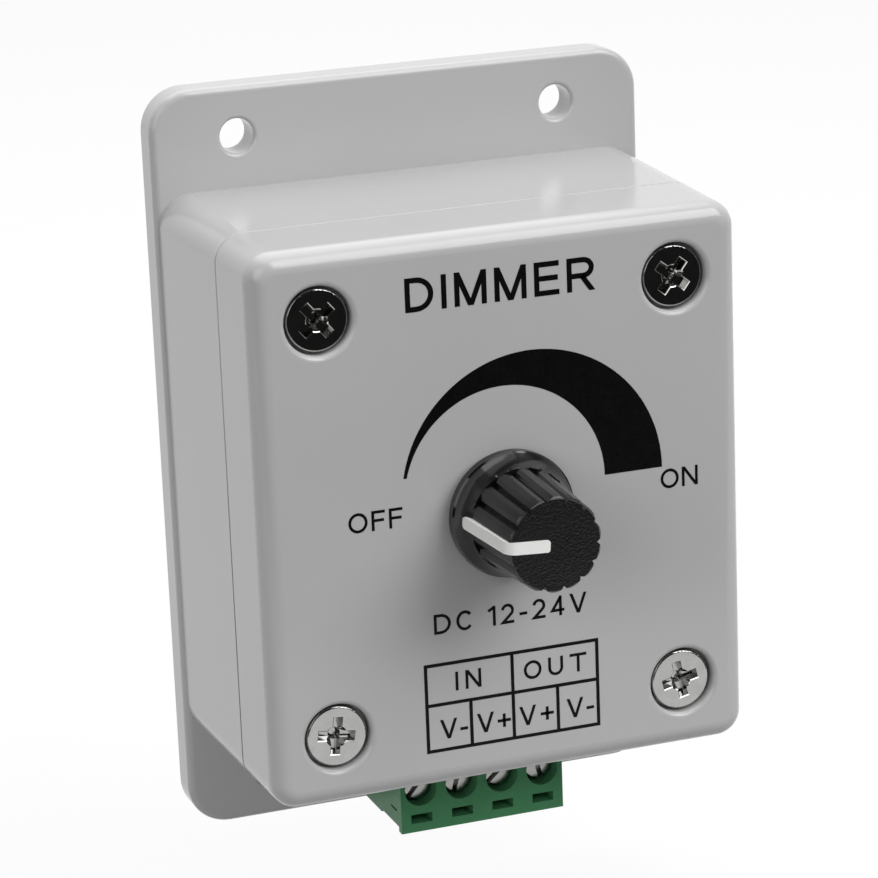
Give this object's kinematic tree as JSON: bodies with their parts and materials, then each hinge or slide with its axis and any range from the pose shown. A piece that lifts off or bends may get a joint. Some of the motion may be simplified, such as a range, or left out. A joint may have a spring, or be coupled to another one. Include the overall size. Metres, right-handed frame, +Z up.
{
  "type": "led dimmer switch",
  "caption": "Wall-box dimmer for LED lighting: grey flanged case with a screwed cover, a fluted black rotary knob with a white pointer, and a green plug-in terminal block below.",
  "frame": {"origin": "centre of the wall face, midway between the wall holes", "axes": "+X to the right seen from the front, +Y into the wall, +Z up; the front faces -Y"},
  "size_m": [0.0592, 0.049, 0.088],
  "materials": {
    "case": "light grey satin moulding",
    "screw_steel": "bright nickel plate",
    "knob_black": "black moulding, glossy skirt and satin grip",
    "pointer_white": "white moulded strip",
    "terminal_green": "green moulded polyamide",
    "clamp_steel": "zinc plate",
    "contact_brass": "tinned brass",
    "board_green": "solder resist on glass epoxy",
    "epoxy_black": "moulded epoxy",
    "tab_metal": "tinned sheet",
    "capacitor_sleeve": "sleeved aluminium can",
    "resistor_body": "lacquered",
    "film_body": "dipped lacquer",
    "phenolic": "phenolic laminate",
    "shaft_alloy": "turned alloy"
  },
  "bodies": {
    "enclosure": {"rear_housing": "case", "front_cover": "case", "cover_screws": "screw_steel", "circuit_board": "board_green", "board_screws": "screw_steel", "switch_transistor": "epoxy_black", "transistor_tab": "tab_metal", "timer_chip": "epoxy_black", "chip_legs": "contact_brass", "filter_capacitor": "capacitor_sleeve", "flyback_diode": "epoxy_black", "resistors": "resistor_body", "film_capacitors": "film_body", "pot_can": "tab_metal", "pot_wafer": "phenolic", "pot_bushing": "shaft_alloy", "pot_terminals": "contact_brass", "header_shroud": "terminal_green", "header_pins": "contact_brass"},
    "knob": {"knob": "knob_black", "knob_pointer": "pointer_white", "pot_shaft": "shaft_alloy", "pot_rotor": "phenolic", "pot_wiper": "contact_brass"},
    "plug": {"plug_housing": "terminal_green", "plug_contacts": "contact_brass"},
    "clamp_screw_1": {"clamp_screw_1": "clamp_steel"},
    "clamp_sleeve_1": {"clamp_sleeve_1": "clamp_steel"},
    "clamp_screw_2": {"clamp_screw_2": "clamp_steel"},
    "clamp_sleeve_2": {"clamp_sleeve_2": "clamp_steel"},
    "clamp_screw_3": {"clamp_screw_3": "clamp_steel"},
    "clamp_sleeve_3": {"clamp_sleeve_3": "clamp_steel"},
    "clamp_screw_4": {"clamp_screw_4": "clamp_steel"},
    "clamp_sleeve_4": {"clamp_sleeve_4": "clamp_steel"}
  },
  "joints": [
    {"name": "knob_turn", "type": "hinge", "parent": "enclosure", "child": "knob", "pos_m": [0, -0.0346, -0.00025], "axis": [0, 1, 0], "range_deg": [-63.5, 236.5]},
    {"name": "plug_pull", "type": "slide", "parent": "enclosure", "child": "plug", "axis": [0, 0, -1], "range_m": [0, 0.012]},
    {"name": "clamp_turn_1", "type": "hinge", "parent": "plug", "child": "clamp_screw_1", "pos_m": [-0.0075, -0.0233, -0.036], "axis": [0, 1, 0], "range_deg": [0, 1800]},
    {"name": "clamp_rise_1", "type": "slide", "parent": "plug", "child": "clamp_sleeve_1", "axis": [0, -1, 0], "range_m": [0, 0.0025]},
    {"name": "clamp_turn_2", "type": "hinge", "parent": "plug", "child": "clamp_screw_2", "pos_m": [-0.0025, -0.0233, -0.036], "axis": [0, 1, 0], "range_deg": [0, 1800]},
    {"name": "clamp_rise_2", "type": "slide", "parent": "plug", "child": "clamp_sleeve_2", "axis": [0, -1, 0], "range_m": [0, 0.0025]},
    {"name": "clamp_turn_3", "type": "hinge", "parent": "plug", "child": "clamp_screw_3", "pos_m": [0.0025, -0.0233, -0.036], "axis": [0, 1, 0], "range_deg": [0, 1800]},
    {"name": "clamp_rise_3", "type": "slide", "parent": "plug", "child": "clamp_sleeve_3", "axis": [0, -1, 0], "range_m": [0, 0.0025]},
    {"name": "clamp_turn_4", "type": "hinge", "parent": "plug", "child": "clamp_screw_4", "pos_m": [0.0075, -0.0233, -0.036], "axis": [0, 1, 0], "range_deg": [0, 1800]},
    {"name": "clamp_rise_4", "type": "slide", "parent": "plug", "child": "clamp_sleeve_4", "axis": [0, -1, 0], "range_m": [0, 0.0025]}
  ],
  "couplings": [
    {"joint": "clamp_turn_1", "follows": "clamp_rise_1", "rad_per_m": 12566},
    {"joint": "clamp_turn_2", "follows": "clamp_rise_2", "rad_per_m": 12566},
    {"joint": "clamp_turn_3", "follows": "clamp_rise_3", "rad_per_m": 12566},
    {"joint": "clamp_turn_4", "follows": "clamp_rise_4", "rad_per_m": 12566}
  ]
}
